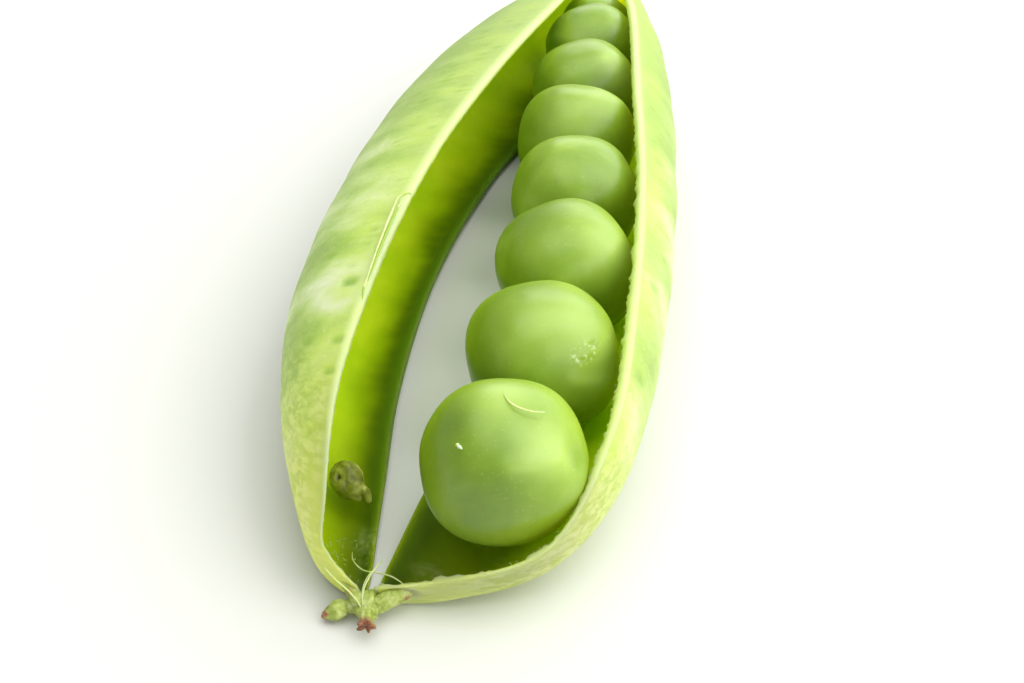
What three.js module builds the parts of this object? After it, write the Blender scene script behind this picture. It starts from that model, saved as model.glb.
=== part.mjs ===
// A ripe garden pea pod, split open along both seams and lying on its side walls.
// The two valves still meet at the stem end and at the beak. Between them lies a lens-shaped gap,
// eight peas hang in a row on the right valve, and one stunted seed clings to the left valve.
// Millimetres. +Y runs from the stem end to the beak, +X to the right seen from the stem end,
// +Z up, and the pod lies on z = 0. Until the last step, y = 0 is at the stem end.

import * as THREE from "three";

// ---------- Driving dimensions ----------

const podLength = 95;      // stem end to the tip where the valves meet, without the beak
const wall = 1.05;         // fleshy wall of a valve
const endWall = 0.2;       // the same wall where it runs out at both ends
const wallTaper = 16;      // distance from either end over which the wall reaches its full thickness
const restDepth = 0.2;     // how far the soft underside is pressed flat where it lies
const pressedShare = 0.75; // what is left of the wall's thickness there
const edgeTurnUp = 28;     // degrees that a lower edge curls up from the surface it lies on
const clearance = 0.3;     // gap kept between pieces that touch

const colours = {
  valve: 0xa9c957,
  pea: 0x93b544,
  funicle: 0xc9dc8c,
  stunted: 0x7d8a3a,
  stalk: 0x8fa04c,
  calyx: 0x8ca546,
  beak: 0x9db55a,
};

// Each valve is drawn through three guide lines, with the same count of points in each: its lower
// edge [x, y], its belly [x, y, z] and its upper rim [x, y, z]. rimTurnIn is how many degrees the
// wall leans in from the belly to the rim, and side is -1 for the left valve.
const leftValve = {
  side: -1,
  rimTurnIn: 74,
  edge: [[-0.7, 1], [-0.9, 3], [-1.5, 6], [-2.3, 10], [-3.9, 18], [-5.2, 32], [-4.5, 48],
    [-2, 64], [-1.1, 80], [-0.6, 91], [-0.4, podLength]],
  belly: [[-1.5, 0.9, 1.5], [-3.7, 2, 2.7], [-5.7, 4.6, 4.1], [-8.4, 10, 5.4], [-10.9, 18, 6.3],
    [-12.6, 32, 6.7], [-12.8, 48, 6.8], [-10.9, 64, 6.5], [-6.8, 80, 5.5], [-3, 91, 3.4],
    [-1.3, podLength, 1.7]],
  rim: [[-0.9, 0.9, 2.5], [-2.4, 1.5, 3.8], [-3.1, 3.6, 6.4], [-4.2, 9, 9.2], [-4.6, 18, 11.4],
    [-4.7, 32, 12.2], [-3.5, 48, 12.3], [-1.8, 64, 11.7], [-0.9, 80, 9.6], [-0.5, 91, 5.7],
    [-0.4, podLength, 2.9]],
};
const rightValve = {
  side: 1,
  rimTurnIn: 48,
  edge: [[-0.2, 1.5], [-0.2, 3], [0, 5.3], [0.5, 10], [1.8, 18], [2.2, 32], [1.5, 48], [0.4, 64],
    [0, 80], [0, 91], [0.1, podLength]],
  belly: [[0.6, 1.2, 1.5], [5.1, 2, 2.2], [9.6, 4.1, 3.3], [12.5, 9.4, 4.9], [13.4, 18, 6.2],
    [13, 32, 6.8], [11.5, 48, 6.9], [8.9, 64, 6.6], [5, 80, 5.5], [2.4, 91, 3.4],
    [1.1, podLength, 1.7]],
  rim: [[0.2, 1.1, 2.2], [4.8, 1.75, 3], [9.3, 3.6, 4.6], [11.7, 9.6, 8.3], [11.6, 19, 10.1],
    [10.2, 34, 10.8], [7.9, 49.5, 11.2], [5.55, 65.3, 11.2], [2.5, 80.5, 9.2], [0.7, 91, 5.5],
    [0.2, podLength, 2.9]],
};

// The peas in their row: x and y of the middle, and half the width. They press on each
// other as they grow, so each is a little short along the row.
const peaRow = [[5.8, 7.65, 4.72], [6.15, 17.2, 4.88], [5.95, 26.95, 4.93], [4.9, 36.75, 4.93],
  [3.4, 46.5, 4.93], [2.6, 56.3, 4.85], [1.8, 65.9, 4.7], [0.75, 74.7, 3.75]];
const peaShortness = 0.97;  // length along the row, as a share of the width
const peaLift = 1.65;       // the underside of a pea above the surface the pod lies on

// Each pea is tied to the lower edge of the right valve by a short stalk behind it.
const funicleRadius = 0.36;
const funicleShift = 0.72;   // how far behind the middle of the pea it starts, in half widths
const funicleOnWall = 0.045; // where it starts on the valve's section

// Pieces drawn as a ball with a blunt point at the end that lies along their own X.
const stuntedSeed = { at: [-4.15, 8.4, 2.2], half: [1.45, 1.1, 0.95], point: 0.25, turn: [12, 18, -32] };
const calyxLobe = { at: [-1.7, 0.2, 0.65], half: [0.76, 0.58, 0.58], point: 0.4, turn: [0, 12, 205] };

// Pieces drawn along a line, from one radius to the other.
const stalk = { points: [[-0.05, 0.6, 1.3], [0.05, -0.1, 1.15], [0.15, -0.85, 0.95]], radii: [0.52, 0.48] };
const beak = { points: [[0, 95.35, 1.9], [0.1, 96.8, 1.9], [0.5, 98.6, 2.7]], radii: [0.8, 0.2] };

// ---------- Valves ----------

const rad = THREE.MathUtils.degToRad;
const alongSteps = 40;
const aroundSteps = 16;

// A smooth line through guide points, read at 0 (stem end) to 1 (tip).
function guide(points) {
  const line = new THREE.CatmullRomCurve3(points.map(([x, y, z = 0]) => new THREE.Vector3(x, y, z)));
  return (along) => line.getPoint(along);
}

// The outer skin of a valve as a function of along (0 at the stem end, 1 at the tip) and
// around (0 at the lower edge, 1 at the upper rim): an arc that lies on the surface, climbs to
// the belly, then leans in to the rim.
function valveSkin(valve) {
  const [edgeAt, bellyAt, rimAt] = [valve.edge, valve.belly, valve.rim].map(guide);
  const curl = Math.sin(rad(edgeTurnUp));
  const sweep = edgeTurnUp + 90 + valve.rimTurnIn;
  return (along, around) => {
    const belly = bellyAt(along);
    const turn = around * sweep - edgeTurnUp;
    if (turn <= 90) {
      const foot = edgeAt(along).addScaledVector(belly, curl).divideScalar(1 + curl);
      const point = foot.lerp(belly, Math.sin(rad(turn)));
      point.z = (belly.z + restDepth) * (1 - Math.cos(rad(turn))) - restDepth;
      return point;
    }
    const lean = rad(turn - 90);
    const rim = rimAt(along);
    const inward = (1 - Math.cos(lean)) / (1 - Math.cos(rad(valve.rimTurnIn)));
    const upward = Math.sin(lean) / Math.sin(rad(valve.rimTurnIn));
    const point = belly.clone().lerp(rim, inward);
    point.z = THREE.MathUtils.lerp(belly.z, rim.z, upward);
    return point;
  };
}

// The direction into the pod at a place on the skin, square to it.
function inwardNormal(skin, side, along, around) {
  const step = 0.004;
  const clamp = (value) => THREE.MathUtils.clamp(value, 0, 1);
  const up = skin(along, clamp(around + step)).sub(skin(along, clamp(around - step)));
  const forward = skin(clamp(along + step), around).sub(skin(clamp(along - step), around));
  return up.cross(forward).multiplyScalar(side).normalize();
}

// A closed shell: a flat slab bent to the skin on one side and, on the other, to the skin moved
// in by the wall's thickness.
function valveGeometry(valve) {
  const skin = valveSkin(valve);
  const slab = new THREE.BoxGeometry(1, 1, 1, aroundSteps, alongSteps, 1);
  const position = slab.getAttribute("position");
  for (let i = 0; i < position.count; i++) {
    const around = position.getX(i) + 0.5;
    const along = position.getY(i) + 0.5;
    const isInner = position.getZ(i) * valve.side > 0;
    const point = skin(along, around);
    if (isInner) {
      const fromEnd = Math.min(point.y, podLength - point.y);
      const share = THREE.MathUtils.smoothstep(fromEnd, 0, wallTaper);
      const depth = THREE.MathUtils.lerp(endWall, wall, share);
      point.addScaledVector(inwardNormal(skin, valve.side, along, around), depth);
      point.z = Math.max(point.z, pressedShare * depth);
    } else {
      point.z = Math.max(point.z, 0);
    }
    position.setXYZ(i, point.x, point.y, point.z);
  }
  return slab;
}

// ---------- Peas, their stalks and the stunted seed ----------

const ballSegments = [18, 12];

function peaGeometry(halfWidth) {
  return new THREE.SphereGeometry(halfWidth, ...ballSegments).scale(1, peaShortness, 1);
}

// A ball of three half sizes, drawn out to a blunt point along +X.
function pointedBall([halfX, halfY, halfZ], point) {
  const ball = new THREE.SphereGeometry(1, 14, 10);
  const position = ball.getAttribute("position");
  for (let i = 0; i < position.count; i++) {
    const x = position.getX(i);
    position.setX(i, x + point * Math.max(x, 0) ** 6);
  }
  return ball.scale(halfX, halfY, halfZ);
}

// A round rod with closed ends, along a smooth line through points, from one radius to the other.
const zUp = new THREE.Vector3(0, 0, 1);
function rodGeometry(points, nearRadius, farRadius) {
  const line = new THREE.CatmullRomCurve3(points);
  const rod = new THREE.CylinderGeometry(farRadius, nearRadius, 1, 12, 6);
  const position = rod.getAttribute("position");
  for (let i = 0; i < position.count; i++) {
    const along = position.getY(i) + 0.5;
    const forward = line.getTangent(along);
    const across = forward.clone().cross(zUp).normalize();
    const upward = across.clone().cross(forward);
    const point = line.getPoint(along)
      .addScaledVector(across, position.getX(i))
      .addScaledVector(upward, position.getZ(i));
    position.setXYZ(i, point.x, point.y, point.z);
  }
  return rod;
}

// Where along a skin, as a share, a line at one height in the section is y from the stem end.
function alongAt(skin, around, y) {
  let [low, high] = [0, 1];
  for (let i = 0; i < 30; i++) {
    const half = (low + high) / 2;
    if (skin(half, around).y < y) low = half;
    else high = half;
  }
  return low;
}

// The stalk of a pea, from the inside of the right valve's lower edge to the pea's skin.
const rightSkin = valveSkin(rightValve);
function funicleGeometry([x, y, halfWidth]) {
  const along = alongAt(rightSkin, funicleOnWall, y + funicleShift * halfWidth);
  const inward = inwardNormal(rightSkin, rightValve.side, along, funicleOnWall);
  const onWall = rightSkin(along, funicleOnWall).addScaledVector(inward, wall + 1.8 * clearance);
  const centre = new THREE.Vector3(x, y, peaLift + halfWidth);
  const away = onWall.clone().sub(centre).normalize();
  const onPea = centre.addScaledVector(away, halfWidth + clearance);
  return rodGeometry([onWall, onPea], funicleRadius, funicleRadius);
}

// ---------- Assembly ----------

const pod = new THREE.Group();

function add(name, geometry, colour, roughness, place = [0, 0, 0], turn = [0, 0, 0]) {
  const material = new THREE.MeshStandardMaterial({ color: colour, roughness, metalness: 0 });
  const mesh = new THREE.Mesh(geometry, material);
  mesh.name = name;
  mesh.position.set(...place);
  mesh.rotation.set(...turn.map(rad));
  pod.add(mesh);
  return mesh;
}

add("valve_left", valveGeometry(leftValve), colours.valve, 0.45);
add("valve_right", valveGeometry(rightValve), colours.valve, 0.45);

peaRow.forEach((pea, i) => {
  const [x, y, halfWidth] = pea;
  add(`pea_${i + 1}`, peaGeometry(halfWidth), colours.pea, 0.35, [x, y, peaLift + halfWidth]);
  add(`funicle_${i + 1}`, funicleGeometry(pea), colours.funicle, 0.5);
});

const ballOf = (piece) => pointedBall(piece.half, piece.point);
add("stunted_seed", ballOf(stuntedSeed), colours.stunted, 0.6, stuntedSeed.at, stuntedSeed.turn);
add("calyx_lobe", ballOf(calyxLobe), colours.calyx, 0.6, calyxLobe.at, calyxLobe.turn);

function rodOf(piece) {
  const points = piece.points.map((triple) => new THREE.Vector3(...triple));
  return rodGeometry(points, ...piece.radii);
}
add("stalk", rodOf(stalk), colours.stalk, 0.6);
add("beak", rodOf(beak), colours.beak, 0.55);

// The frame's origin is under the middle of the whole pod.
const box = new THREE.Box3().setFromObject(pod, true);
const middle = box.getCenter(new THREE.Vector3());
pod.position.set(-middle.x, -middle.y, 0);

export default pod;
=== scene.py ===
"""An opened garden pea pod lying on its side walls on a white table, in daylight."""

from math import cos, exp, pi, radians, sin
from random import Random

import bmesh
import bpy
import numpy as np
from mathutils import Euler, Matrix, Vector, noise


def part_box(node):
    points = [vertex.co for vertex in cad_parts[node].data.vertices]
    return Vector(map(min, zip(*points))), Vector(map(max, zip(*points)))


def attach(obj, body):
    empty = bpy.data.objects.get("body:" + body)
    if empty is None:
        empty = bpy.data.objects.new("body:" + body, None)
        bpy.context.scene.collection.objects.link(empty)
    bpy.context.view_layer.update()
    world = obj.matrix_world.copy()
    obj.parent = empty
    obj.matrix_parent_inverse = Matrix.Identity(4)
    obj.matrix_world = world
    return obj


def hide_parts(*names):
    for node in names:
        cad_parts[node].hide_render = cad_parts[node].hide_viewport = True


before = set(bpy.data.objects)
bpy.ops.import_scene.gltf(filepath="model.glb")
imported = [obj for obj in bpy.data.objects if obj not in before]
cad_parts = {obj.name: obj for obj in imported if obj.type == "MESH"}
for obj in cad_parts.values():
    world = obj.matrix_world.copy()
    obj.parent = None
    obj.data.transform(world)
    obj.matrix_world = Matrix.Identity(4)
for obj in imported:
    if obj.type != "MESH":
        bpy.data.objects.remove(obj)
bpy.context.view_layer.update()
MM = 0.001


# ---------------------------------------------------------------- table, daylight and camera
# The pod lies on a sheet of matt white board that runs on out of sight. A tall window on its
# right lights it, and smaller windows, a skylight and the white room fill the shadows.

def from_rgb(red, green, blue):
    """A colour given as 0 to 255 a channel, turned into the shader's linear colour."""
    share = [channel / 255 for channel in (red, green, blue)]
    return tuple(c / 12.92 if c <= 0.04045 else ((c + 0.055) / 1.055) ** 2.4 for c in share)


def new_material(name):
    material = bpy.data.materials.new(name)
    material.use_nodes = True
    shader = material.node_tree.nodes["Principled BSDF"]
    return material, material.node_tree, shader


board_mesh = bpy.data.meshes.new("white_board")
bm = bmesh.new()
bmesh.ops.create_grid(bm, x_segments=1, y_segments=1, size=3)
bm.to_mesh(board_mesh)
bm.free()
white_board = bpy.data.objects.new("white_board", board_mesh)
bpy.context.scene.collection.objects.link(white_board)
board_paint, tree, shader = new_material("matt_white_board")
shader.inputs["Base Color"].default_value = (0.68, 0.685, 0.64, 1)
shader.inputs["Roughness"].default_value = 0.75
shader.inputs["Specular IOR Level"].default_value = 0.25
board_mesh.materials.append(board_paint)


def window_light(name, size, place, power, colour):
    """A window-sized lamp that faces the middle of the table."""
    lamp = bpy.data.lights.new(name, "AREA")
    lamp.shape = "RECTANGLE"
    lamp.size, lamp.size_y = size
    lamp.energy = power
    lamp.color = colour
    holder = bpy.data.objects.new(name, lamp)
    holder.location = place
    holder.rotation_euler = (-Vector(place)).to_track_quat("-Z", "Y").to_euler()
    bpy.context.scene.collection.objects.link(holder)


window_light("window", (0.9, 0.9), (0.7, 0.26, 0.72), 8.6, (1, 0.995, 0.975))
window_light("front_window", (0.6, 0.5), (0.52, -0.36, 0.34), 2.1, (1, 1, 0.96))
window_light("skylight", (0.9, 0.9), (-0.02, 0.06, 0.85), 5.3, (0.99, 1, 0.995))
window_light("back_window", (1, 0.5), (0.1, 0.9, 0.5), 4.6, (0.98, 0.99, 1))

room = bpy.data.worlds.new("white_room")
room.use_nodes = True
room.node_tree.nodes["Background"].inputs["Color"].default_value = (1, 1, 1, 1)
room.node_tree.nodes["Background"].inputs["Strength"].default_value = 0.34
bpy.context.scene.world = room
bpy.context.scene.view_settings.view_transform = "Standard"

lens = bpy.data.cameras.new("camera")
lens.sensor_width = 36
lens.lens = 37.27
lens.clip_start = 0.002
lens.clip_end = 20
camera = bpy.data.objects.new("camera", lens)
camera.location = (0.01515, -0.08284, 0.0476)
camera.rotation_euler = (radians(90 - 37.5), 0, radians(12.3))
bpy.context.scene.collection.objects.link(camera)
bpy.context.scene.camera = camera


# ---------------------------------------------------------------- the two valves
# Each valve is half of the pod's wall: a waxy pale skin outside, fleshy tissue a millimetre thick,
# and a glossy parchment lining inside. They tore apart along the two seams, so the upper rim and
# the lower edge show pale torn tissue; the lower lips are painted dark green as painted shade.
# All lengths are in millimetres from the stem end.

POD_LENGTH = 95
REST_DEPTH = 0.2     # how far the soft underside is pressed flat where it lies
EDGE_TURN_UP = 28    # degrees that the lower edge curls up from the table
WALL = 1.02          # the fleshy wall
FIRST_PEA = (5.8, 7.65)
PEA_SPACING = 9.7

low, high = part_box("pea_1")
STEM_END = Vector(((low.x + high.x) / 2, (low.y + high.y) / 2, 0)) - Vector((*FIRST_PEA, 0)) * MM

LEFT_WALL = dict(
    side=-1, turn_in=74, rim_width=0.46,
    edge=[(-0.7, 1), (-0.9, 3), (-1.5, 6), (-2.3, 10), (-3.9, 18), (-5.2, 32), (-4.5, 48),
          (-2, 64), (-1.1, 80), (-0.6, 91), (-0.4, POD_LENGTH)],
    belly=[(-1.5, 0.9, 1.5), (-3.7, 2, 2.7), (-5.7, 4.6, 4.1), (-8.4, 10, 5.4), (-10.9, 18, 6.3),
           (-12.6, 32, 6.7), (-12.8, 48, 6.8), (-10.9, 64, 6.5), (-6.8, 80, 5.5), (-3, 91, 3.4),
           (-1.3, POD_LENGTH, 1.7)],
    rim=[(-1.2, 0.9, 2.0), (-2.8, 1.5, 3.2), (-3.2, 3.6, 6.3), (-4.2, 9, 9.2), (-4.6, 18, 11.4),
         (-4.7, 32, 12.2), (-3.5, 48, 12.3), (-1.8, 64, 11.7), (-0.9, 80, 9.6), (-0.5, 91, 5.7),
         (-0.4, POD_LENGTH, 2.9)])
RIGHT_WALL = dict(
    side=1, turn_in=48, rim_width=0.7,
    edge=[(-0.2, 1.5), (-0.2, 3), (0, 5.3), (0.5, 10), (1.8, 18), (2.2, 32), (1.5, 48), (0.4, 64),
          (0, 80), (0, 91), (0.1, POD_LENGTH)],
    belly=[(0.6, 1.2, 1.5), (5.1, 2, 2.2), (9.6, 4.1, 3.3), (12.5, 9.4, 4.9), (13.4, 18, 6.2),
           (13, 32, 6.8), (11.5, 48, 6.9), (8.9, 64, 6.6), (5, 80, 5.5), (2.4, 91, 3.4),
           (1.1, POD_LENGTH, 1.7)],
    rim=[(0.2, 1.1, 2.2), (4.8, 1.75, 3), (9.3, 3.6, 4.6), (11.7, 9.6, 8.3), (11.6, 19, 10.1),
         (10.2, 34, 10.8), (7.9, 49.5, 11.2), (5.55, 65.3, 11.2), (2.5, 80.5, 9.2), (0.7, 91, 5.5),
         (0.2, POD_LENGTH, 2.9)])


def smooth_line(points, along):
    """Centripetal Catmull-Rom line through points, read at every along (0 to 1)."""
    points = np.array([tuple(p) + (0,) * (3 - len(p)) for p in points], float)
    padded = np.vstack([2 * points[0] - points[1], points, 2 * points[-1] - points[-2]])
    place = np.asarray(along) * (len(points) - 1)
    start = np.clip(place.astype(int), 0, len(points) - 2)
    share = (place - start)[:, None]
    p0, p1, p2, p3 = (padded[start + i] for i in range(4))
    d0, d1, d2 = (np.sqrt(np.linalg.norm(b - a, axis=1))[:, None] for a, b in ((p0, p1), (p1, p2), (p2, p3)))
    t1 = ((p1 - p0) / d0 - (p2 - p0) / (d0 + d1) + (p2 - p1) / d1) * d1
    t2 = ((p2 - p1) / d1 - (p3 - p1) / (d1 + d2) + (p3 - p2) / d2) * d1
    return (p1 + share * t1 + share ** 2 * (-3 * p1 + 3 * p2 - 2 * t1 - t2)
            + share ** 3 * (2 * p1 - 2 * p2 + t1 + t2))


def skin_points(wall, along, around):
    """Points of a valve's skin: around runs from 0 at the lower edge to 1 at the upper rim."""
    edge, belly, rim = (smooth_line(wall[line], along) for line in ("edge", "belly", "rim"))
    curl = sin(radians(EDGE_TURN_UP))
    turn = np.radians(around * (EDGE_TURN_UP + 90 + wall["turn_in"]) - EDGE_TURN_UP)[:, None]
    foot = (edge + belly * curl) / (1 + curl)
    lower = foot + (belly - foot) * np.sin(turn)
    lower[:, 2:] = (belly[:, 2:] + REST_DEPTH) * (1 - np.cos(turn)) - REST_DEPTH
    lean = turn - pi / 2
    turn_in = radians(wall["turn_in"])
    upper = belly + (rim - belly) * (1 - np.cos(lean)) / (1 - cos(turn_in))
    upper[:, 2:] = belly[:, 2:] + (rim - belly)[:, 2:] * np.sin(lean) / sin(turn_in)
    return np.where(turn <= pi / 2, lower, upper)


def skin_frame(wall, along, around):
    """A point of the skin, the direction into the pod, and the direction up the section."""
    step = 0.004
    def at(da, dr):
        return skin_points(wall, np.clip(along + da, 0, 1), np.clip(around + dr, 0, 1))
    up = at(0, step) - at(0, -step)
    forward = at(step, 0) - at(-step, 0)
    up /= np.linalg.norm(up, axis=1)[:, None]
    inward = np.cross(up, forward) * wall["side"]
    inward /= np.linalg.norm(inward, axis=1)[:, None]
    return at(0, 0), inward, up


def smooth_share(value, low, high):
    share = np.clip((value - low) / (high - low), 0, 1)
    return share * share * (3 - 2 * share)


def ripple(points, size, seed):
    """Soft noise from -1 to 1 at each point, with lumps of about that size in millimetres."""
    shift = Vector((seed * 7.3, seed * 3.1, seed * 5.7))
    return np.array([noise.noise(Vector(p) / size + shift) for p in points])


ROWS = 780           # steps of the mesh along the pod
COLUMNS = 114        # steps round the section, up the skin and down the lining
LIP = 0.035          # share of a side spent on each rounded lip


def spot(distance, size):
    """1 at the middle of a mark, fading to nothing beyond about twice its size."""
    return np.exp(-(distance / size) ** 2)


def along_rows(wall, share):
    """Spreads rows by length, closer together at the stem end."""
    steps = np.linspace(0, 1, 800)
    reach = smooth_line(wall["belly"], steps)[:, 1]
    wanted = reach[0] + (reach[-1] - reach[0]) * share ** 1.25
    return np.interp(wanted, reach, steps)


def finished(name, bm):
    """Turns a bmesh into a smooth-shaded object, with nothing below the table's top."""
    mesh = bpy.data.meshes.new(name)
    for face in bm.faces:
        face.smooth = True
    for vertex in bm.verts:
        vertex.co.z = max(vertex.co.z, 0)
    bm.to_mesh(mesh)
    bm.free()
    piece = bpy.data.objects.new(name, mesh)
    bpy.context.scene.collection.objects.link(piece)
    return piece


def mark(bm, name, values):
    """Stores one number a vertex, for the material to read."""
    layer = bm.verts.layers.float.new(name)
    for vertex, value in zip(bm.verts, values):
        vertex[layer] = value


def wall_thickness(wall, around, y):
    """The wall is fleshy in the middle, and thins to its lips and to both ends."""
    from_end = np.minimum(y - 1, POD_LENGTH - y)
    thickness = WALL - (WALL - wall["rim_width"]) * smooth_share(around, 0.8, 1)
    thickness -= 0.45 * (1 - smooth_share(around, 0, 0.14))
    return thickness * (0.24 + 0.76 * smooth_share(from_end, 0, 14))


def veins_of(skin, around, seed, draw):
    """Faint pale veins that wander across the skin: 1 on a strong vein, 0 between them."""
    meander = 0.6 * ripple(skin * (1, 0.3, 1), 2.5, seed + 5)
    strength = np.clip(ripple(skin, 2.2, seed + 6) + 0.1, 0, 1) * np.sin(around * pi)
    veins = np.zeros(len(skin))
    for start in np.arange(4, 92, 5.6):
        line = start + draw.uniform(-1.5, 1.5) + (around - 0.5) * draw.uniform(1, 5) + meander
        veins = np.maximum(veins, spot(skin[:, 1] - line, 0.22) * strength)
    return veins


def dents_of(skin, dents):
    """How far each point of the skin sinks into the dents, and how much of it lies in one."""
    sunk, dented = np.zeros(len(skin)), np.zeros(len(skin))
    for place, size, drop in dents:
        distance = np.linalg.norm(skin - place, axis=1)
        sunk += drop * (spot(distance, size) - 0.4 * spot(distance - 1.5 * size, 0.5 * size))
        dented = np.maximum(dented, spot(distance, size) * min(1, drop * 10))
    return sunk, dented


def spotted(skin, spots):
    """How strongly each point lies in any of the spots, which are (place, size)."""
    return sum(spot(np.linalg.norm(skin - place, axis=1), size) for place, size in spots)


def valve_object(name, wall, seed, pea_bulge, small_dent_count, torn_rim, dents, pale_patches, stains,
                 tufts, painted_lining_glow):
    """One valve as a closed shell: a sheet rolled up the skin, over the upper lip, down the
    lining and back to the lower lip."""
    bm = bmesh.new()
    bmesh.ops.create_grid(bm, x_segments=COLUMNS, y_segments=ROWS, size=0.5)
    loop = np.array([v.co.x + 0.5 for v in bm.verts])
    along = along_rows(wall, np.array([v.co.y + 0.5 for v in bm.verts]))
    climb = 1 - np.abs(2 * loop - 1)
    is_lining = np.where(loop > 0.5, 1.0, 0.0)
    around = np.clip((climb - LIP) / (1 - 2 * LIP), 0, 1)
    skin, inward, up = skin_frame(wall, along, around)
    y = skin[:, 1]

    thickness = wall_thickness(wall, around, y)
    lip_turn = np.clip((climb - 1 + LIP) / LIP, 0, 1) - np.clip((LIP - climb) / LIP, 0, 1)
    depth = is_lining + (1 - 2 * is_lining) * (1 - np.cos(lip_turn * pi / 2)) / 2
    lip_rise = np.sin(lip_turn * pi / 2) / 2
    points = skin + (inward * depth[:, None] + up * lip_rise[:, None]) * thickness[:, None]

    # the skin swells a little over each pea, is crossed by veins, and is dented beside the rim
    middle = np.sin(around * pi)
    outside = 1 - is_lining
    patchy = ripple(skin * (0.8, 1.2, 0.8), 3.6, seed)
    wrinkle = ripple(skin * (0.6, 1.4, 0.6), 1.3, seed + 3)
    relief = outside * pea_bulge * middle * np.cos((y - FIRST_PEA[1]) * 2 * pi / PEA_SPACING)
    relief += middle * (0.09 * ripple(skin, 7, seed + 1) + 0.025 * wrinkle * (1 - 0.6 * is_lining))
    draw = Random(seed)
    veins = outside * veins_of(skin, around, seed, draw)
    relief += 0.025 * veins
    beside_rim = np.flatnonzero((loop > 0.42) & (loop < 0.47) & (y > 6) & (y < 60))
    small_dents = [(skin[draw.choice(beside_rim)], draw.uniform(0.2, 0.42), draw.uniform(0.02, 0.05))
                   for _ in range(small_dent_count)]
    sunk, dented = dents_of(skin, small_dents + dents)
    relief -= outside * sunk
    points -= inward * relief[:, None]

    # the torn tissue of the rims
    torn = smooth_share(climb, 1 - 1.8 * LIP, 1)
    fray = 0.7 * ripple(skin * (0.3, 1, 0.3), 0.9, seed + 8) + ripple(skin, 0.3, seed + 9)
    fray += 0.6 * ripple(skin, 0.16, seed + 10)
    inner_lip = smooth_share(loop, 0.5 - 0.2 * LIP, 0.5 + 0.3 * LIP)
    points += up * (torn * inner_lip * torn_rim * 0.5 * fray)[:, None]
    shelf = smooth_share(climb, 1 - 3 * LIP, 1 - LIP) * is_lining * smooth_share(60 - y, 0, 30)
    points += inward * (shelf * torn_rim * np.maximum(fray, -0.1))[:, None]
    shoulder = spot(loop - 0.5 + 0.42 * LIP, 0.16 * LIP)
    points -= inward * (0.05 * shoulder * wall["rim_width"])[:, None]
    tufted = 0.6 * spotted(skin, tufts) * is_lining * np.clip(0.3 + 0.8 * fray, 0, 1)
    points += inward * (0.08 * tufted)[:, None]
    points[:, 2] = np.maximum(points[:, 2], is_lining * 0.5 * thickness)

    # both ends draw in to the stalk and to the beak
    for end_pull, root in ((0.42 * (1 - smooth_share(y, 1.0, 2.0)), (-0.1, 1.0, 1.15)),
                           (0.55 * smooth_share(y, 86, POD_LENGTH), (0, 0, 1.75))):
        points[:, [0, 2]] += end_pull[:, None] * (np.array(root)[[0, 2]] - points[:, [0, 2]])

    for vertex, point in zip(bm.verts, points):
        vertex.co = STEM_END + Vector(point) * MM

    # what the material needs to know of each place
    inside = smooth_share(loop, 0.5 - 0.1 * LIP, 0.5 + 0.6 * LIP) * smooth_share(1 - loop, 0, 0.25 * LIP)
    mark(bm, "lining", inside)
    mark(bm, "upper_lip", smooth_share(climb, 1 - 1.9 * LIP, 1 - 0.9 * LIP))
    # the dark green given to the lower lips is painted shade along the lower edge
    mark(bm, "shaded_lower_lip", 1 - smooth_share(climb, 0.7 * LIP, 3.5 * LIP))
    collar = np.clip(0.65 + 0.8 * patchy + 0.3 * wrinkle, 0, 1)
    mark(bm, "near_rim", smooth_share(around, 0.82, 0.95) * collar)
    mark(bm, "ridge", np.clip(shoulder + 0.35 * torn, 0, 1))
    mark(bm, "dented", outside * dented)
    mark(bm, "near_stem", 1 - smooth_share(y, 3, 17))
    mark(bm, "far_skin", smooth_share(y, 18, 60))
    # painted glow: the right valve's lining between the peas and the rim is painted bright lime for the light
    # shining through the wall
    mark(bm, "painted_wall_glow", painted_lining_glow * is_lining * smooth_share(around, 0.35, 0.85))
    foot_shade = 1 - smooth_share(around + 0.05 * patchy, 0.02, 0.3)
    mark(bm, "foot_shade", is_lining * np.clip(foot_shade * (1 + 0.12 * wrinkle), 0, 1))
    mark(bm, "stem_end", (1 - smooth_share(y + 0.8 * wrinkle, 1.0, 3.2)) * np.clip(0.75 + 0.6 * fray, 0, 1))
    patches = sum(strength * spot(np.linalg.norm(skin - place, axis=1), size)
                  for place, size, strength in pale_patches)
    duller = 0.6 * smooth_share(y, 22, 70)
    mark(bm, "bloom", np.clip(0.44 + 0.6 * patchy + patches + 0.4 * veins - duller, 0, 1))
    mark(bm, "stain", np.clip(spotted(skin, stains), 0, 1))
    mark(bm, "fluff", np.clip(shelf * np.clip(0.5 + fray, 0, 1) + tufted, 0, 1))

    bmesh.ops.remove_doubles(bm, verts=bm.verts, dist=1e-6)
    bmesh.ops.holes_fill(bm, edges=[e for e in bm.edges if e.is_boundary], sides=0)
    bmesh.ops.triangulate(bm, faces=[f for f in bm.faces if len(f.verts) > 4])
    bmesh.ops.recalc_face_normals(bm, faces=bm.faces)
    return finished(name, bm)


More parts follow.
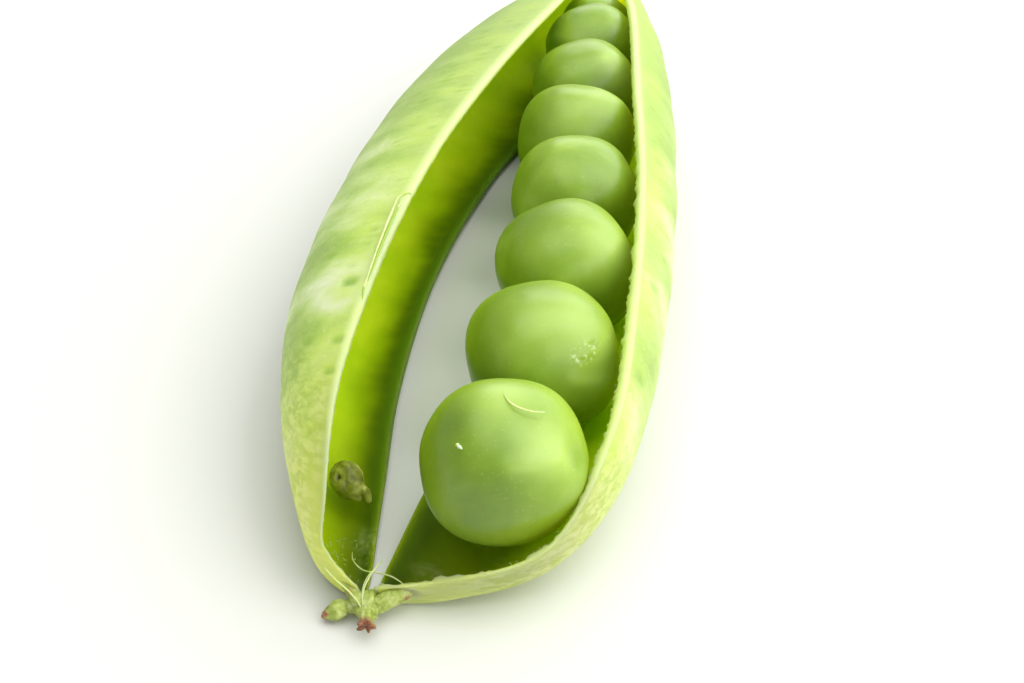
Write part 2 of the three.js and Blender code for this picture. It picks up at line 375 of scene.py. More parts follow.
valve_left = valve_object(
    "valve_left_wall", LEFT_WALL, seed=1, pea_bulge=0.03, small_dent_count=30, torn_rim=0.06,
    dents=[((-5.8, 16.6, 10.8), 0.5, 0.16), ((-5.5, 20.9, 11.6), 0.3, 0.08),
           ((-5.0, 11.9, 10.0), 0.35, 0.1), ((-4.8, 9.8, 9.3), 0.3, 0.08), ((-5.5, 23.4, 11.8), 0.3, 0.07)],
    pale_patches=[((-6.5, 16.6, 10.6), 2.2, 0.75), ((-6.4, 14.9, 10.3), 1.2, 0.4),
                  ((-8, 27, 11), 2.6, 0.35), ((-8.2, 10.8, 7.2), 2.4, -0.5), ((-9, 21, 10), 2.6, -0.45)],
    stains=[((-1.3, 1.0, 1.7), 0.22)],
    tufts=[((-2.2, 5.5, 0.4), 0.8), ((-1.5, 4.1, 0.5), 0.7), ((-2.2, 2.6, 1.6), 0.8)],
    painted_lining_glow=0)
valve_right = valve_object(
    "valve_right_wall", RIGHT_WALL, seed=2, pea_bulge=0.06, small_dent_count=7, torn_rim=0.22,
    dents=[((12.6, 14, 8.5), 0.4, 0.06), ((12.5, 22, 9.5), 0.5, 0.06)],
    pale_patches=[((12.2, 12, 7.5), 2.2, 0.4), ((12, 24, 9), 2.6, 0.35)],
    stains=[((1.1, 1.25, 1.5), 0.25)],
    tufts=[((2.3, 3.9, 0.3), 0.9), ((6.1, 4.6, 0.6), 1.0), ((8.2, 5.6, 1.2), 1.0), ((4, 3.2, 0.8), 0.8)],
    painted_lining_glow=1)


def wire(tree, kind, values=None, links=None, **settings):
    """Adds a shader node with its settings, socket values and incoming links."""
    node = tree.nodes.new(kind)
    for key, value in settings.items():
        setattr(node, key, value)
    for key, value in (values or {}).items():
        node.inputs[key].default_value = value
    for key, socket in (links or {}).items():
        tree.links.new(socket, node.inputs[key])
    return node


def attribute(tree, name, share=1):
    """A mark of the mesh, times share."""
    value = wire(tree, "ShaderNodeAttribute", attribute_name=name).outputs["Fac"]
    return value if share == 1 else calculate(tree, "MULTIPLY", value, share)


def stretched_coordinates(tree, scale):
    """Object coordinates with each axis scaled, so that a pattern can be drawn out."""
    place = wire(tree, "ShaderNodeTexCoord").outputs["Object"]
    return wire(tree, "ShaderNodeMapping", {"Scale": scale}, {"Vector": place}).outputs["Vector"]


def noise_pattern(tree, place, scale, detail, roughness, distortion=0.0):
    return wire(tree, "ShaderNodeTexNoise",
                {"Scale": scale, "Detail": detail, "Roughness": roughness, "Distortion": distortion},
                {"Vector": place}).outputs["Fac"]


def ramp(tree, factor, stops):
    """A colour ramp: stops are (position, colour)."""
    node = wire(tree, "ShaderNodeValToRGB", links={"Fac": factor})
    elements = node.color_ramp.elements
    while len(elements) < len(stops):
        elements.new(0.5)
    for element, (position, colour) in zip(elements, stops):
        element.position = position
        element.color = (*colour, 1)
    return node.outputs["Color"]


def grey(value):
    return (value, value, value)


def blend(tree, factor, first, second):
    """Mixes two colours, each a socket or a plain colour; factor is a socket or a number."""
    node = wire(tree, "ShaderNodeMix", data_type="RGBA")
    for socket, value in ((node.inputs[0], factor), (node.inputs[6], first), (node.inputs[7], second)):
        if isinstance(value, bpy.types.NodeSocket):
            tree.links.new(value, socket)
        elif isinstance(value, (int, float)):
            socket.default_value = value
        else:
            socket.default_value = (*value, 1)
    return node.outputs[2]


def calculate(tree, operation, first, second):
    node = wire(tree, "ShaderNodeMath", operation=operation)
    for socket, value in zip(node.inputs, (first, second)):
        if isinstance(value, bpy.types.NodeSocket):
            tree.links.new(value, socket)
        else:
            socket.default_value = value
    return node.outputs[0]


def bump(tree, shader, height, strength, distance):
    """Fine relief in the surface's shading, at most distance metres deep."""
    node = wire(tree, "ShaderNodeBump", {"Strength": strength, "Distance": distance}, {"Height": height})
    tree.links.new(node.outputs["Normal"], shader.inputs["Normal"])


def soft_flesh(shader, weight, radius, scale):
    """Light soaks into moist tissue: radius is the share of red, green and blue, scale in metres."""
    shader.inputs["Subsurface Weight"].default_value = weight
    shader.inputs["Subsurface Radius"].default_value = radius
    shader.inputs["Subsurface Scale"].default_value = scale


valve_flesh, tree, shader = new_material("pod_wall")
even = stretched_coordinates(tree, (1000, 1000, 1000))
across = stretched_coordinates(tree, (450, 1000, 450))
fine = noise_pattern(tree, across, 1.3, 4, 0.55, 0.3)
broad = noise_pattern(tree, even, 0.42, 4, 0.55, 0.4)
specks = noise_pattern(tree, even, 3.2, 3, 0.6)
bloom = calculate(tree, "ADD", attribute(tree, "bloom"),
                  calculate(tree, "MULTIPLY", calculate(tree, "SUBTRACT", fine, 0.5), 0.5))
bloom = calculate(tree, "ADD", bloom,
                  calculate(tree, "MULTIPLY", calculate(tree, "SUBTRACT", broad, 0.5), 0.9))
skin_colour = ramp(tree, bloom, [(0.0, from_rgb(146, 174, 84)), (0.4, from_rgb(172, 198, 112)),
                                 (0.75, from_rgb(200, 218, 156)), (1.0, from_rgb(224, 235, 198))])
drawn_out = stretched_coordinates(tree, (220, 600, 1000))
streaks = ramp(tree, noise_pattern(tree, drawn_out, 2.4, 4, 0.6, 0.3), [(0.42, grey(0)), (0.6, grey(0.75))])
streaks = calculate(tree, "MULTIPLY", streaks, attribute(tree, "near_stem"))
skin_colour = blend(tree, attribute(tree, "near_stem", 0.55), skin_colour, from_rgb(192, 214, 88))
skin_colour = blend(tree, streaks, skin_colour, from_rgb(226, 240, 150))
skin_colour = blend(tree, attribute(tree, "near_rim", 0.7), skin_colour, from_rgb(184, 216, 84))
skin_colour = blend(tree, ramp(tree, specks, [(0.58, grey(0)), (0.72, grey(0.25))]), skin_colour,
                    from_rgb(222, 234, 180))
skin_colour = blend(tree, attribute(tree, "far_skin", 0.4), skin_colour, from_rgb(144, 170, 82))
skin_colour = blend(tree, attribute(tree, "dented"), skin_colour, from_rgb(118, 158, 36))
lining_mottle = noise_pattern(tree, even, 0.28, 4, 0.55)
lining_colour = ramp(tree, lining_mottle, [(0.3, from_rgb(172, 206, 8)), (0.7, from_rgb(194, 220, 26))])
# On the lining: painted shade darkens it near the stem end and toward the lower edge (foot_shade), and a
# painted glow brightens the right valve's lining for light shining through the wall
for name, share, colour in (("near_stem", 0.8, (126, 156, 10)), ("painted_wall_glow", 1, (230, 250, 34)),
                            ("foot_shade", 0.85, (44, 72, 0))):
    lining_colour = blend(tree, attribute(tree, name, share), lining_colour, from_rgb(*colour))
wall_colour = blend(tree, attribute(tree, "lining"), skin_colour, lining_colour)
# the lower lips are painted dark green as painted shade; the upper lip, fluff, ridge, stem end and stain are
# the tissue's own colours
for name, colour in (("shaded_lower_lip", (78, 106, 18)), ("upper_lip", (174, 204, 104)), ("fluff", (200, 216, 124)),
                     ("ridge", (198, 222, 142)), ("stem_end", (192, 208, 112)), ("stain", (120, 82, 34))):
    wall_colour = blend(tree, attribute(tree, name), wall_colour, from_rgb(*colour))
tree.links.new(wall_colour, shader.inputs["Base Color"])
gloss = blend(tree, attribute(tree, "lining"), grey(0.5), grey(0.42))
tree.links.new(gloss, shader.inputs["Roughness"])
sheen = blend(tree, attribute(tree, "lining"), grey(0.42), grey(0.02))
tree.links.new(sheen, shader.inputs["Specular IOR Level"])
texture = calculate(tree, "ADD", fine, calculate(tree, "MULTIPLY", specks, 0.5))
flattened = calculate(tree, "SUBTRACT", 1.0, attribute(tree, "lining", 0.8))
bump(tree, shader, calculate(tree, "MULTIPLY", texture, flattened), 0.28, 0.00009)
soft_flesh(shader, 0.9, (0.95, 1.0, 0.15), 0.0034)

for piece, node in ((valve_left, "valve_left"), (valve_right, "valve_right")):
    piece.data.materials.append(valve_flesh)
    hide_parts(node)
    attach(piece, "root")


# ---------------------------------------------------------------- strands of the seams
# The seam's pale fibres tore loose in places: one lifts off the left rim and rejoins it in a
# narrow loop, beside a darker green strip laid along the furrow it left as painted shade. Thin threads cross
# the stem end.

def roll_tube(bm, path, radii, sides):
    """Adds a closed tube: a sheet rolled round a path in millimetres."""
    path = np.array(path, float)
    tangents = np.gradient(path, axis=0)
    tangents /= np.linalg.norm(tangents, axis=1)[:, None]
    across = np.cross(tangents[0], (0.31, 0.2, 0.93))
    frames = []
    for tangent in tangents:
        across = across - tangent * across.dot(tangent)
        across /= np.linalg.norm(across)
        frames.append((across, np.cross(tangent, across)))
    sheet = bmesh.ops.create_grid(bm, x_segments=sides, y_segments=len(path) - 1, size=0.5)["verts"]
    for vertex in sheet:
        turn = (vertex.co.x + 0.5) * 2 * pi
        row = round((vertex.co.y + 0.5) * (len(path) - 1))
        side, top = frames[row]
        point = path[row] + radii[row] * (side * cos(turn) + top * sin(turn))
        vertex.co = STEM_END + Vector(point) * MM
    bmesh.ops.remove_doubles(bm, verts=sheet, dist=1e-7)


def closed(bm):
    """Caps every open end and turns the faces outwards."""
    bmesh.ops.holes_fill(bm, edges=[e for e in bm.edges if e.is_boundary], sides=0)
    bmesh.ops.recalc_face_normals(bm, faces=bm.faces)
    return bm


def smooth_path(points, count):
    return smooth_line(points, np.linspace(0, 1, count))


def place_on(wall, y, around, lift):
    """A point of a valve's skin level with y, moved out of the skin by lift."""
    steps = np.linspace(0, 1, 400)
    reach = skin_points(wall, steps, np.full(len(steps), around))[:, 1]
    along = np.array([np.interp(y, reach, steps)])
    skin, inward, up = skin_frame(wall, along, np.array([around]))
    return skin[0] - inward[0] * lift + up[0] * (0.12 if around == 1 else 0)


LOOP_START = 14.6
LOOP_STEPS = 80
loop_line = [place_on(LEFT_WALL, LOOP_START, 1, -0.1)]
for share in np.linspace(0.1, 1, 8):
    loop_line.append(place_on(LEFT_WALL, LOOP_START + 10.6 * share, 1 - 0.019 * share ** 0.8, 0.03))
loop_line += [place_on(LEFT_WALL, 25.6, 0.987, 0.05), place_on(LEFT_WALL, 25.9, 1, 0),
              place_on(LEFT_WALL, 25.6, 1, -0.15)]
stem_threads = [
    ([(-2.3, 4.1, 0.9), (-1.9, 3.2, 1.3), (-1.0, 2.4, 1.6), (-0.2, 2.3, 1.7), (0.6, 2.1, 1.9),
      (1.2, 1.7, 2.2), (1.6, 1.5, 2.2)], 0.04),
    ([(-0.3, 0.1, 1.45), (-0.4, 0.5, 1.75), (-0.4, 0.9, 2.05), (-0.25, 1.5, 2.35), (-0.05, 2.1, 2.5),
      (0.1, 2.6, 2.4)], 0.045),
    ([(-0.35, 0.3, 1.6), (-0.5, 0.8, 1.9), (-0.45, 1.6, 2.1), (-0.2, 2.2, 2.2), (0.0, 2.9, 2.2)], 0.03),
    ([(-2.8, 1.3, 2.7), (-2.1, 0.95, 2.3), (-1.2, 0.6, 1.9), (-0.6, 0.25, 1.6), (-0.3, 0.0, 1.35)], 0.055),
]
# a darker green strip along the furrow beside the loop: painted shade of the furrow
furrow_shade_line = [place_on(LEFT_WALL, LOOP_START + 10.4 * share, 1 - 0.008 * share ** 0.8, 0.02)
             for share in np.linspace(0.18, 1, 8)]
swell = np.sin(pi * np.linspace(0, 1, LOOP_STEPS)) ** 0.5
bm = bmesh.new()
roll_tube(bm, smooth_path(furrow_shade_line, LOOP_STEPS), 0.02 + 0.075 * swell, 8)
furrow_shade_count = len(bm.verts)
roll_tube(bm, smooth_path(loop_line, LOOP_STEPS), 0.03 + 0.065 * swell, 8)
for thread, radius in stem_threads:
    roll_tube(bm, smooth_path(thread, 24), radius * (1 - 0.6 * np.linspace(-1, 1, 24) ** 4), 7)
closed(bm)
mark(bm, "furrow_shade", [float(index < furrow_shade_count) for index in range(len(bm.verts))])
seam_strands = finished("seam_strands", bm)

# fluff of torn parchment along the right rim and in the left valve near the stem end
draw = Random(11)
bm = bmesh.new()
for count, wall, y_range, around_range in ((110, RIGHT_WALL, (1.7, 7), (0.84, 0.98)),
                                           (480, RIGHT_WALL, (5, 34), (0.975, 1.0)),
                                           (110, LEFT_WALL, (1.8, 5.5), (0.1, 0.5))):
    for _ in range(count):
        y, around = draw.uniform(*y_range), draw.uniform(*around_range)
        root = place_on(wall, y, around, -0.96 * wall_thickness(wall, around, y))
        lean = np.array([draw.uniform(-1, 1) for _ in range(3)])
        lean[0] -= 0.6 * wall["side"]
        lean *= draw.uniform(0.1, 0.3) / np.linalg.norm(lean)
        curl = np.array([draw.uniform(-0.06, 0.06) for _ in range(3)])
        path = [root, root + 0.5 * lean + curl, root + lean + 0.3 * curl]
        roll_tube(bm, smooth_path(path, 4), [0.022, 0.02, 0.016, 0.008], 4)
wall_fluff = finished("wall_fluff", closed(bm))

strand_fibre, tree, shader = new_material("seam_fibre")
even = stretched_coordinates(tree, (1000, 1000, 1000))
fibre_colour = ramp(tree, noise_pattern(tree, even, 1.2, 3, 0.6),
                    [(0.3, from_rgb(184, 204, 104)), (0.7, from_rgb(220, 230, 160))])
fibre_colour = blend(tree, attribute(tree, "bleached"), fibre_colour, from_rgb(206, 226, 188))
# the furrow strip's darker green is painted shade
fibre_colour = blend(tree, attribute(tree, "furrow_shade"), fibre_colour, from_rgb(146, 180, 52))
tree.links.new(fibre_colour, shader.inputs["Base Color"])
shader.inputs["Roughness"].default_value = 0.5
soft_flesh(shader, 0.4, (1.0, 1.0, 0.4), 0.0006)
for piece in (seam_strands, wall_fluff):
    piece.data.materials.append(strand_fibre)
    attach(piece, "root")


# ---------------------------------------------------------------- the peas
# Eight ripe peas in a row. Each grew pressed between its neighbours and the wall, so it is a
# little square in its sides, and the seed coat shows the ridge of the root tip and soft dents.

PEAS = range(1, 9)
SQUARENESS = 2.4    # 2 would be a plain ball
# On the first two peas, the pale marks on the tops and on the second pea's right side are painted light, and
# the deep marks on the lower and upper-left sides are painted shade; the pale band along the first pea's
# ridge and the other peas' marks, drawn by lot, are the coat's own tone.
first_pea_marks = dict(
    ridges=[((0.72, -0.42, 0.55), (0.25, -0.75, 0.62), 0.13, 0.03)],
    dents=[((0.88, -0.22, 0.42), 0.13, 0.045), ((0.1, -0.93, 0.34), 0.42, 0.012)],
    pale_and_lit=[((0.62, -0.42, 0.66), 0.36), ((0, 0.1, 1), 0.35)],
    deep=[((0.08, -0.93, 0.34), 0.44), ((0.0, -0.8, -0.1), 0.4), ((-0.49, -0.34, 0.8), 0.24)],
    crinkle=[])
second_pea_marks = dict(
    ridges=[((0.84, -0.5, 0.1), (0.55, -0.78, 0.3), 0.12, 0.02)],
    dents=[((0.8, -0.5, 0.33), 0.2, 0.015), ((-0.55, -0.6, 0.58), 0.3, 0.02)],
    pale_and_lit=[((0.3, -0.35, 0.88), 0.5), ((0.85, -0.3, 0.3), 0.4)],
    deep=[((-0.5, -0.7, 0.1), 0.3)],
    crinkle=[((0.71, -0.42, 0.57), 0.1), ((0.64, -0.51, 0.57), 0.11), ((0.56, -0.62, 0.55), 0.09)])


def way_of(direction):
    """The direction as a vector of length 1."""
    return np.array(direction) / np.linalg.norm(direction)


def pea_marks(number):
    """The marks of one pea: the first two peas have their own, the others' are drawn by lot."""
    if number <= 2:
        return (first_pea_marks, second_pea_marks)[number - 1]
    draw = Random(number)
    def somewhere():
        return (draw.uniform(-1, 1), draw.uniform(-1, 0.6), draw.uniform(-0.2, 1))
    return dict(ridges=[(somewhere(), somewhere(), 0.14, 0.016)],
                dents=[(somewhere(), 0.2, 0.016), (somewhere(), 0.35, 0.018)],
                pale_and_lit=[(somewhere(), 0.45)], deep=[(somewhere(), 0.4)], crinkle=[])


def pea_object(number):
    low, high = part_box(f"pea_{number}")
    centre, half = (low + high) / 2, (high - low) / 2
    marks = pea_marks(number)
    bm = bmesh.new()
    bmesh.ops.create_uvsphere(bm, u_segments=160, v_segments=104, radius=1)
    ways = np.array([v.co.normalized() for v in bm.verts])
    tilt = np.array(Euler((0.3 * sin(number * 2.1), 0.3 * sin(number * 1.7), 0.5)).to_matrix())
    reach = (np.abs(ways @ tilt) ** SQUARENESS).sum(axis=1) ** (-1 / SQUARENESS)
    reach = 0.955 * reach
    reach += 0.018 * ripple(ways, 0.8, number * 3) + 0.0015 * ripple(ways, 0.16, number)
    ridged = np.zeros(len(ways))
    for start, end, width, height in marks["ridges"]:
        first, last = way_of(start), way_of(end)
        span = np.clip((ways - first) @ (last - first) / ((last - first) @ (last - first)), 0, 1)
        nearest = first + span[:, None] * (last - first)
        nearest /= np.linalg.norm(nearest, axis=1)[:, None]
        ridged += spot(np.linalg.norm(ways - nearest, axis=1), width)
        reach += height * ridged
    for place, size, drop in marks["dents"]:
        reach -= drop * spot(np.linalg.norm(ways - way_of(place), axis=1), size)
    def patch(kind):
        total = sum((spot(np.linalg.norm(ways - way_of(place), axis=1), size)
                     for place, size in marks[kind]), np.zeros(len(ways)))
        return np.clip(total, 0, 1)
    rough_patch = patch("crinkle")
    reach += 0.02 * rough_patch * ripple(ways, 0.06, number + 30)
    for vertex, way, length in zip(bm.verts, ways, reach):
        vertex.co = centre + Vector([length * way[i] * half[i] for i in range(3)])
    mark(bm, "pale_and_lit", np.clip(patch("pale_and_lit") + 0.5 * ridged, 0, 1))
    mark(bm, "deep", patch("deep"))
    mark(bm, "crinkle", rough_patch)
    bmesh.ops.recalc_face_normals(bm, faces=bm.faces)
    return finished(f"pea_coat_{number}", bm)


pea_coat, tree, shader = new_material("pea_coat")
even = stretched_coordinates(tree, (1000, 1000, 1000))
mottle = noise_pattern(tree, even, 0.2, 4, 0.55, 0.3)
pores = noise_pattern(tree, even, 3.4, 2, 0.5)
flecks = noise_pattern(tree, even, 4.6, 2, 0.4)
coat_colour = ramp(tree, mottle, [(0.3, from_rgb(116, 148, 28)), (0.5, from_rgb(132, 164, 40)),
                                  (0.72, from_rgb(156, 186, 68))])
# pale marks: painted light on the first two peas' tops and the second's right side, the coat's own tone
# elsewhere; deep marks: painted shade on the first two peas, the coat's own tone on the others
coat_colour = blend(tree, attribute(tree, "pale_and_lit", 0.6), coat_colour, from_rgb(178, 206, 104))
coat_colour = blend(tree, attribute(tree, "deep", 0.55), coat_colour, from_rgb(98, 128, 52))
# pale flecks of the coat, crowded thicker and whiter into the second pea's crinkled wet patch as painted
# glints
flecks_and_glints = calculate(tree, "ADD", 0.1, attribute(tree, "crinkle", 0.7))
flecks_and_glints = calculate(tree, "MULTIPLY", ramp(tree, flecks, [(0.66, grey(0)), (0.72, grey(1))]), flecks_and_glints)
painted_glints = calculate(tree, "MULTIPLY", ramp(tree, flecks, [(0.55, grey(0)), (0.66, grey(0.75))]),
                    attribute(tree, "crinkle"))
flecks_and_glints = calculate(tree, "MAXIMUM", flecks_and_glints, painted_glints)
coat_colour = blend(tree, flecks_and_glints, coat_colour, from_rgb(214, 228, 170))
tree.links.new(coat_colour, shader.inputs["Base Color"])
wetness = blend(tree, attribute(tree, "crinkle"), grey(0.35), grey(0.1))
tree.links.new(wetness, shader.inputs["Roughness"])
shader.inputs["Specular IOR Level"].default_value = 0.48
bump(tree, shader, pores, 0.16, 0.00005)
soft_flesh(shader, 0.75, (0.95, 1.0, 0.14), 0.0022)

for number in PEAS:
    pea = pea_object(number)
    pea.data.materials.append(pea_coat)
    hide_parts(f"pea_{number}")
    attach(pea, "root")

# a thin cream scar and a crumb of dried skin on the first pea
low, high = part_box("pea_1")
centre, half = (low + high) / 2, (high - low) / 2


def on_first_pea(direction, reach=0.985):
    """A point on the first pea in that direction, in millimetres from the stem end."""
    way = way_of(direction)
    reach *= (np.abs(way) ** SQUARENESS).sum() ** (-1 / SQUARENESS)
    point = centre + Vector([reach * way[i] * half[i] for i in range(3)])
    return (point - STEM_END) / MM


bm = bmesh.new()
scar = [on_first_pea(way) for way in ((-0.02, 0.12, 0.97), (0.08, -0.02, 0.99), (0.2, -0.09, 0.97),
                                      (0.35, -0.09, 0.93), (0.48, -0.02, 0.87))]
roll_tube(bm, smooth_path(scar, 30), 0.065 * (1 - 0.75 * np.linspace(-1, 1, 30) ** 2), 8)
crumb = [on_first_pea(way, 0.99) for way in ((-0.37, -0.6, 0.75), (-0.34, -0.62, 0.74), (-0.29, -0.65, 0.73))]
scar_count = len(bm.verts)
roll_tube(bm, smooth_path(crumb, 8), [0.03, 0.09, 0.12, 0.06, 0.11, 0.1, 0.07, 0.03], 7)
closed(bm)
mark(bm, "bleached", [0.0] * scar_count + [1.0] * (len(bm.verts) - scar_count))
pea_scar = finished("pea_scar", bm)
pea_scar.data.materials.append(strand_fibre)
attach(pea_scar, "root")


# ---------------------------------------------------------------- the stalks of the peas
# Each pea is tied to the lower edge of the right valve by a short moist stalk that widens where
# it grows out of the wall and where it holds the pea.

for number in PEAS:
    low, high = ((corner - STEM_END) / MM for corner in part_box(f"funicle_{number}"))
    on_wall = np.array((low.x + 0.3, high.y - 0.3, low.z + 0.2))
    on_pea = np.array((high.x - 0.3, low.y + 0.3, high.z - 0.2))
    reach = (on_pea - on_wall) * 0.35
    path = smooth_path([on_wall - reach, on_wall, (on_wall + on_pea) / 2 + (0.06, 0, 0.04), on_pea,
                        on_pea + reach], 18)
    widen = 0.3 + 0.16 * np.abs(np.linspace(-1, 1, 18)) ** 2
    bm = bmesh.new()
    roll_tube(bm, path, widen, 16)
    funicle = finished(f"pea_stalk_{number}", closed(bm))
    funicle.data.materials.append(strand_fibre)
    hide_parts(f"funicle_{number}")
    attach(funicle, "root")


# ---------------------------------------------------------------- the stunted seed
# A seed that stopped growing early: a wrinkled olive grain with a dark pit where its skin
# collapsed, still on the small nub that fed it.

def grain(node, stretch, turn, wrinkles, seed, tip, flutes):
    """A small organic body in the box of a CAD node, drawn out along its own X by tip."""
    low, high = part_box(node)
    centre, half = (low + high) / 2, (high - low) / 2
    bm = bmesh.new()
    bmesh.ops.create_icosphere(bm, subdivisions=5, radius=1)
    ways = np.array([v.co.normalized() for v in bm.verts])
    body = ways * np.array(stretch) + np.array([1, 0, 0]) * (tip * np.maximum(ways[:, 0], 0) ** 5)[:, None]
    fold = ripple(ways * (0.6, 1.3, 1.3), 0.45, seed) + 0.5 * ripple(ways, 0.2, seed + 1)
    angle = np.arctan2(ways[:, 2], ways[:, 1])
    body *= (1 + wrinkles * fold + flutes * np.cos(5 * angle) * (1 - ways[:, 0] ** 2))[:, None]
    body = body @ np.array(Euler([radians(a) for a in turn]).to_matrix()).T
    extent = np.abs(body).max(axis=0)
    for vertex, point in zip(bm.verts, body):
        vertex.co = centre + Vector([point[i] / extent[i] * half[i] for i in range(3)])
    bmesh.ops.recalc_face_normals(bm, faces=bm.faces)
    return bm, ways, fold


bm, ways, fold = grain("stunted_seed", (1, 0.85, 0.75), (12, 18, -32), 0.08, 4, 0.45, 0.05)
pit_way = way_of((-0.15, -0.5, 0.85))
pit = spot(np.linalg.norm(ways - pit_way, axis=1), 0.17)
middle = sum((v.co for v in bm.verts), Vector()) / len(bm.verts)
for vertex, deep in zip(bm.verts, pit):
    vertex.co = vertex.co.lerp(middle, 0.28 * deep)
mark(bm, "dry", np.clip(pit * 1.2 + 0.25 * np.maximum(-fold, 0), 0, 1))
seed_base = [(-3.9, 8.15, 2.0), (-3.5, 7.95, 2.05), (-3.15, 7.75, 1.95), (-2.85, 7.6, 1.8)]
roll_tube(bm, smooth_path(seed_base, 24), 0.72 - 0.36 * np.linspace(0, 1, 24) ** 2.5, 28)
closed(bm)
for vertex in list(bm.verts)[len(ways):]:
    place = (vertex.co - STEM_END) / MM
    vertex.co += vertex.normal * MM * (0.12 * noise.noise(place / 0.5) + 0.05 * noise.noise(place / 0.2))
stunted_seed = finished("stunted_seed_coat", bm)

olive_coat, tree, shader = new_material("olive_seed_coat")
even = stretched_coordinates(tree, (1000, 1000, 1000))
olive = ramp(tree, noise_pattern(tree, even, 0.9, 4, 0.6, 0.5),
             [(0.32, from_rgb(84, 92, 8)), (0.5, from_rgb(124, 132, 28)),
              (0.66, from_rgb(172, 180, 78))])
olive = blend(tree, attribute(tree, "dry"), olive, from_rgb(52, 52, 22))
tree.links.new(olive, shader.inputs["Base Color"])
shader.inputs["Roughness"].default_value = 0.5
bump(tree, shader, noise_pattern(tree, even, 2.4, 4, 0.6), 0.5, 0.00012)
soft_flesh(shader, 0.25, (1.0, 0.9, 0.3), 0.0007)
stunted_seed.data.materials.append(olive_coat)
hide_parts("stunted_seed")
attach(stunted_seed, "root")

nub = [(-2.95, 7.85, 2.4), (-2.62, 7.75, 2.1), (-2.4, 7.6, 1.4)]
bm = bmesh.new()
roll_tube(bm, smooth_path(nub, 12), 0.27 - 0.12 * np.linspace(-1, 1, 12) ** 2, 16)
closed(bm)
mark(bm, "dry", np.zeros(len(bm.verts)))
seed_nub = finished("stunted_seed_nub", bm)
seed_nub.data.materials.append(olive_coat)
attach(seed_nub, "root")


# ---------------------------------------------------------------- the stem end
# The stub of the pod's stalk, broken off in a dry reddish star, swells into the pale knob that
# both valves grow from. One withered lobe of the flower's calyx is left beside it.

stem_flesh, tree, shader = new_material("stem_tissue")
even = stretched_coordinates(tree, (1000, 1000, 1000))
patches = noise_pattern(tree, even, 1.8, 5, 0.65, 0.5)
green = ramp(tree, patches, [(0.34, from_rgb(132, 148, 54)), (0.5, from_rgb(164, 180, 86)),
                             (0.66, from_rgb(198, 206, 136))])
rust = ramp(tree, noise_pattern(tree, even, 2.6, 4, 0.65),
            [(0.3, from_rgb(96, 46, 26)), (0.55, from_rgb(156, 98, 70)),
             (0.75, from_rgb(204, 158, 128))])
tissue = blend(tree, attribute(tree, "dry"), green, rust)
tissue = blend(tree, attribute(tree, "pith"), tissue, from_rgb(60, 30, 20))
tree.links.new(tissue, shader.inputs["Base Color"])
shader.inputs["Roughness"].default_value = 0.62
bump(tree, shader, noise_pattern(tree, even, 3.0, 4, 0.65), 0.55, 0.00015)
soft_flesh(shader, 0.3, (1.0, 0.9, 0.35), 0.0007)

STALK_SIDES = 40
STALK_STEPS = 44
stalk_line = smooth_path([(-0.25, 1.15, 1.1), (-0.15, 0.7, 1.15), (-0.03, 0.15, 1.15), (0.08, -0.4, 1.08),
                          (0.15, -0.85, 0.98)], STALK_STEPS)
share = np.linspace(0, 1, STALK_STEPS)
stalk_radii = 0.36 + 0.14 * spot(share - 0.1, 0.3) + 0.05 * smooth_share(share, 0.8, 1)
bm = bmesh.new()
roll_tube(bm, stalk_line, stalk_radii, STALK_SIDES)
axis_points = [STEM_END + Vector(point) * MM for point in stalk_line]
for vertex in bm.verts:
    nearest = min(range(STALK_STEPS), key=lambda i: (axis_points[i] - vertex.co).length_squared)
    out = vertex.co - axis_points[nearest]
    turn = np.arctan2(out.z, out.x)
    broken = float(smooth_share(share[nearest], 0.9, 1))
    ribs = (0.09 + 0.3 * broken) * cos(5 * turn + 0.6) + 0.1 * noise.noise(vertex.co / (0.5 * MM))
    vertex.co = axis_points[nearest] + out * (1 + ribs)
    vertex.co.y += noise.noise(Vector((cos(turn), sin(turn), 0)) * 2.3) * 0.16 * MM * broken
closed(bm)
broken_end = min((f for f in bm.faces if len(f.verts) == STALK_SIDES), key=lambda f: f.calc_center_median().y)
for thickness, drop in ((0.14, 0.05), (0.12, 0.14), (0.1, 0.1)):
    bmesh.ops.inset_region(bm, faces=[broken_end], thickness=thickness * MM, depth=0)
    for vertex in broken_end.verts:
        vertex.co.y += drop * MM
end_y = [(v.co.y - STEM_END.y) / MM for v in bm.verts]
mark(bm, "dry", [float(1 - smooth_share(y, -0.75, -0.3)) for y in end_y])
pith_middle = broken_end.calc_center_median()
mark(bm, "pith", [exp(-((v.co - pith_middle).length / (0.22 * MM)) ** 2) for v in bm.verts])
bmesh.ops.triangulate(bm, faces=[f for f in bm.faces if len(f.verts) > 4])
bmesh.ops.recalc_face_normals(bm, faces=bm.faces)
stalk_stub = finished("stalk_stub", bm)
stalk_stub.data.materials.append(stem_flesh)
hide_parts("stalk")
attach(stalk_stub, "root")

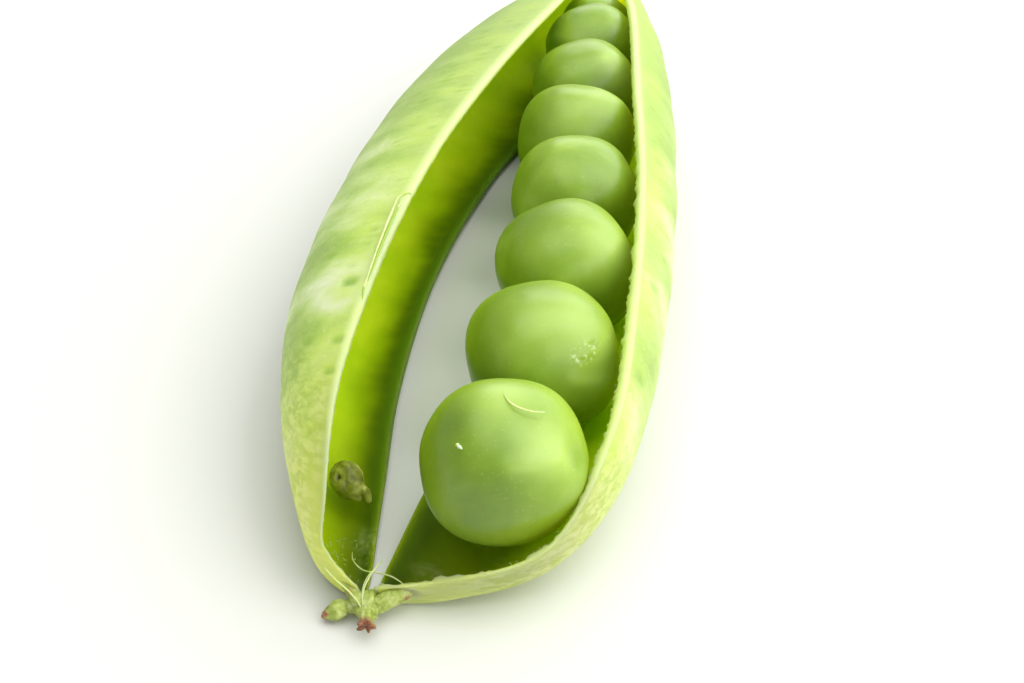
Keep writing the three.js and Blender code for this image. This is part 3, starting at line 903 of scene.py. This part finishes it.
# the pale lumps where the valves and the calyx lobe grow out of the stalk
LUMP_STEPS = 60
lumps = [([(-0.2, 0.5, 0.95), (0.4, 0.75, 1.05), (1.1, 1.3, 1.25), (2.0, 1.9, 1.4), (3.3, 2.5, 1.6)],
          [0.35, 0.52, 0.55, 0.36, 0.05]),
         ([(-1.9, 1.3, 1.6), (-1.2, 0.95, 1.4), (-0.55, 0.5, 1.2), (0.1, 0.4, 1.1)], [0.12, 0.36, 0.46, 0.4]),
         ([(-0.7, 0.4, 0.95), (-0.15, 0.1, 1.05), (0.45, 0.35, 1.0)], [0.4, 0.46, 0.42]),
         ([(-1.6, 0.35, 0.7), (-1.2, 0.5, 0.8), (-0.7, 0.5, 0.9), (-0.2, 0.5, 1.0)], [0.3, 0.4, 0.46, 0.35])]
bm = bmesh.new()
for path, radii in lumps:
    knots = np.linspace(0, 1, len(radii))
    thickness = np.interp(np.linspace(0, 1, LUMP_STEPS), knots, radii)
    roll_tube(bm, smooth_path(path, LUMP_STEPS), thickness, 48)
closed(bm)
for vertex in bm.verts:
    place = (vertex.co - STEM_END) / MM
    bumps = noise.noise(place / 0.5) + 0.5 * noise.noise(place / 0.2)
    fibres = abs(noise.noise(Vector((place.x * 0.7 - place.z, place.y, place.z + place.x * 0.3)) / 0.16))
    vertex.co += vertex.normal * MM * (0.05 * bumps - 0.07 * fibres)
places = np.array([(v.co - STEM_END) / MM for v in bm.verts])
mark(bm, "dry", np.minimum(spotted(places, [((-1.25, 0.7, 1.75), 0.2), ((1.8, 1.35, 1.25), 0.2)]), 1))
mark(bm, "pith", np.zeros(len(bm.verts)))
bmesh.ops.recalc_face_normals(bm, faces=bm.faces)
receptacle = finished("receptacle", bm)
receptacle.data.materials.append(stem_flesh)
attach(receptacle, "root")

bm, ways, fold = grain("calyx_lobe", (1, 0.8, 0.75), (0, 12, 205), 0.07, 9, 0.5, 0.06)
mark(bm, "dry", smooth_share(ways[:, 0] + 0.25 * fold, 0.62, 0.95))
mark(bm, "pith", np.zeros(len(bm.verts)))
withered_lobe = finished("withered_lobe", bm)
withered_lobe.data.materials.append(stem_flesh)
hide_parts("calyx_lobe")
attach(withered_lobe, "root")


# ---------------------------------------------------------------- the beak
# The short curved point at the far end of the pod, left from the flower, where both valves join.

beak_line = smooth_path([(-0.05, 93.6, 1.6), (0, 94.6, 1.7), (0, 95.4, 1.85), (0.1, 96.8, 1.9),
                         (0.3, 97.8, 2.2), (0.5, 98.5, 2.7)], 40)
share = np.linspace(0, 1, 40)
bm = bmesh.new()
roll_tube(bm, beak_line, (0.95 - 0.25 * (1 - smooth_share(share, 0, 0.2))) * (1 - 0.82 * share ** 1.2), 28)
for vertex in bm.verts:
    vertex.co += Vector((0, 0, 1)) * 0.05 * MM * noise.noise(vertex.co / (0.5 * MM))
closed(bm)
reach = np.array([(v.co.y - STEM_END.y) / MM for v in bm.verts])
mark(bm, "dry", 0.9 * smooth_share(reach, 97.4, 98.5))
mark(bm, "pith", np.zeros(len(bm.verts)))
beak_point = finished("beak_point", bm)
beak_point.data.materials.append(stem_flesh)
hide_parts("beak")
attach(beak_point, "root")
